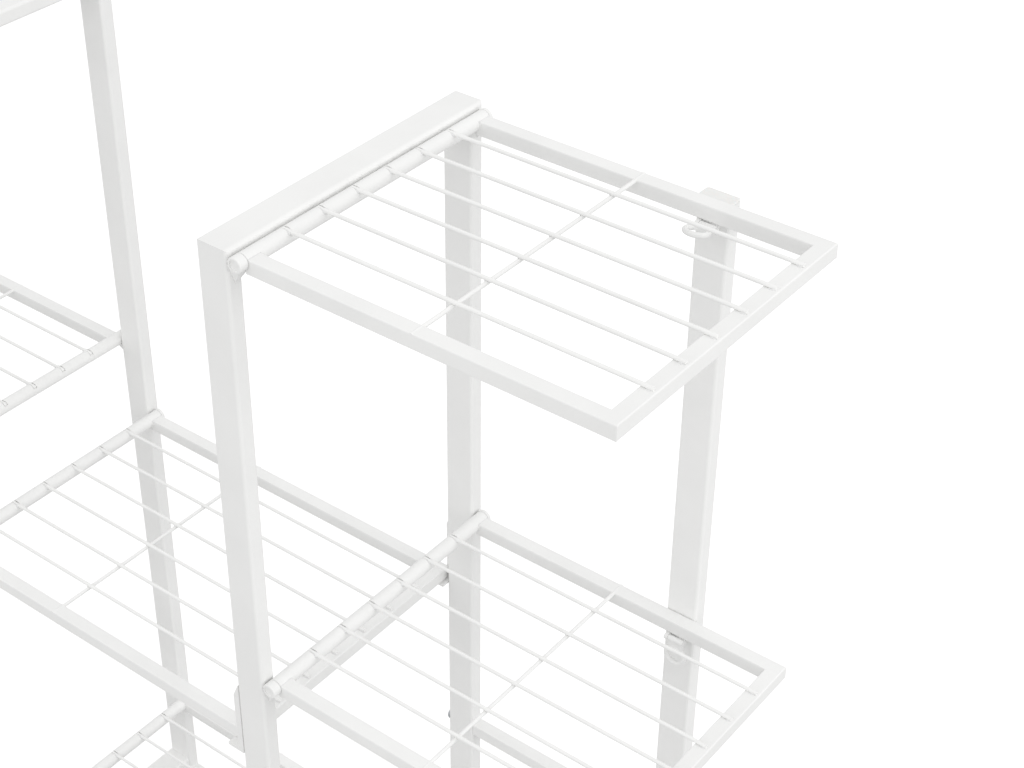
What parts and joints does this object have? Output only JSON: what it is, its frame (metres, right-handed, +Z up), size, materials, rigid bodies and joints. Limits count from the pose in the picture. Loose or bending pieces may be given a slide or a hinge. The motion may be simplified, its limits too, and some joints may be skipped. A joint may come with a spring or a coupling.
{
  "type": "tiered folding shelf stand",
  "caption": "Free-standing metal stand with staggered wire shelves that hinge on two gate frames and lie on bracketed single posts.",
  "frame": {"origin": "middle of the footprint, on the floor", "axes": "+X along the stand, +Y to the back, +Z up"},
  "size_m": [0.935, 0.2566, 0.915],
  "materials": {
    "coated_steel": "satin white powder coat",
    "coated_wire": "satin white powder coat on wire",
    "cap_plastic": "moulded white",
    "foot_plastic": "moulded light grey",
    "bolt_steel": "zinc plated"
  },
  "bodies": {
    "frame": {"frame_bolts": "bolt_steel", "hinge_lugs": "coated_steel", "hinge_pin_heads": "coated_steel", "hinge_pins": "coated_steel", "left_gate_back_post": "coated_steel", "left_gate_base_rail": "coated_steel", "left_gate_beam": "coated_steel", "left_gate_front_post": "coated_steel", "left_wing_post": "coated_steel", "left_wing_rails": "coated_steel", "middle_shelf_hooks": "coated_steel", "post_feet": "foot_plastic", "rest_rivets": "coated_steel", "right_gate_back_post": "coated_steel", "right_gate_base_rail": "coated_steel", "right_gate_beam": "coated_steel", "right_gate_front_post": "coated_steel", "right_wing_post": "coated_steel", "right_wing_rails": "coated_steel", "shelf_rests": "coated_steel", "stretchers": "coated_steel", "wing_caps": "cap_plastic"},
    "right_upper_shelf": {"right_upper_shelf_cross_wire": "coated_wire", "right_upper_shelf_end_rail": "coated_steel", "right_upper_shelf_hinge_tube": "coated_steel", "right_upper_shelf_side_rails": "coated_steel", "right_upper_shelf_wires": "coated_wire"},
    "right_lower_shelf": {"right_lower_shelf_cross_wire": "coated_wire", "right_lower_shelf_end_rail": "coated_steel", "right_lower_shelf_hinge_tube": "coated_steel", "right_lower_shelf_side_rails": "coated_steel", "right_lower_shelf_wires": "coated_wire"},
    "left_upper_shelf": {"left_upper_shelf_cross_wire": "coated_wire", "left_upper_shelf_end_rail": "coated_steel", "left_upper_shelf_hinge_tube": "coated_steel", "left_upper_shelf_side_rails": "coated_steel", "left_upper_shelf_wires": "coated_wire"},
    "left_lower_shelf": {"left_lower_shelf_cross_wire": "coated_wire", "left_lower_shelf_end_rail": "coated_steel", "left_lower_shelf_hinge_tube": "coated_steel", "left_lower_shelf_side_rails": "coated_steel", "left_lower_shelf_wires": "coated_wire"},
    "middle_upper_shelf": {"middle_upper_shelf_cross_wire": "coated_wire", "middle_upper_shelf_end_rail": "coated_steel", "middle_upper_shelf_hinge_tube": "coated_steel", "middle_upper_shelf_side_rails": "coated_steel", "middle_upper_shelf_wires": "coated_wire"},
    "middle_lower_shelf": {"middle_lower_shelf_cross_wire": "coated_wire", "middle_lower_shelf_end_rail": "coated_steel", "middle_lower_shelf_hinge_tube": "coated_steel", "middle_lower_shelf_side_rails": "coated_steel", "middle_lower_shelf_wires": "coated_wire"},
    "right_upper_keeper": {"right_upper_keeper": "coated_wire"},
    "right_lower_keeper": {"right_lower_keeper": "coated_wire"},
    "left_upper_keeper": {"left_upper_keeper": "coated_wire"},
    "left_lower_keeper": {"left_lower_keeper": "coated_wire"}
  },
  "joints": [
    {"name": "right_upper_shelf_fold", "type": "hinge", "parent": "frame", "child": "right_upper_shelf", "pos_m": [0.1999, 0, 0.9071], "axis": [0, -1, 0], "range_deg": [0, 88]},
    {"name": "right_lower_shelf_fold", "type": "hinge", "parent": "frame", "child": "right_lower_shelf", "pos_m": [0.1999, 0, 0.5633], "axis": [0, -1, 0], "range_deg": [0, 88]},
    {"name": "left_upper_shelf_fold", "type": "hinge", "parent": "frame", "child": "left_upper_shelf", "pos_m": [-0.1999, 0, 0.9071], "axis": [0, 1, 0], "range_deg": [0, 88]},
    {"name": "left_lower_shelf_fold", "type": "hinge", "parent": "frame", "child": "left_lower_shelf", "pos_m": [-0.1999, 0, 0.5633], "axis": [0, 1, 0], "range_deg": [0, 88]},
    {"name": "middle_upper_shelf_fold", "type": "hinge", "parent": "frame", "child": "middle_upper_shelf", "pos_m": [-0.1631, 0, 0.4946], "axis": [0, -1, 0], "range_deg": [0, 88]},
    {"name": "middle_lower_shelf_fold", "type": "hinge", "parent": "frame", "child": "middle_lower_shelf", "pos_m": [-0.1631, 0, 0.1507], "axis": [0, -1, 0], "range_deg": [0, 88]},
    {"name": "right_upper_keeper_swing", "type": "hinge", "parent": "frame", "child": "right_upper_keeper", "pos_m": [0.3851, 0.103, 0.8963], "axis": [1, 0, 0], "range_deg": [0, 104]},
    {"name": "right_lower_keeper_swing", "type": "hinge", "parent": "frame", "child": "right_lower_keeper", "pos_m": [0.3851, 0.103, 0.5525], "axis": [1, 0, 0], "range_deg": [-104, 0]},
    {"name": "left_upper_keeper_swing", "type": "hinge", "parent": "frame", "child": "left_upper_keeper", "pos_m": [-0.3851, -0.103, 0.8963], "axis": [-1, 0, 0], "range_deg": [0, 104]},
    {"name": "left_lower_keeper_swing", "type": "hinge", "parent": "frame", "child": "left_lower_keeper", "pos_m": [-0.3851, -0.103, 0.5525], "axis": [-1, 0, 0], "range_deg": [-104, 0]}
  ]
}
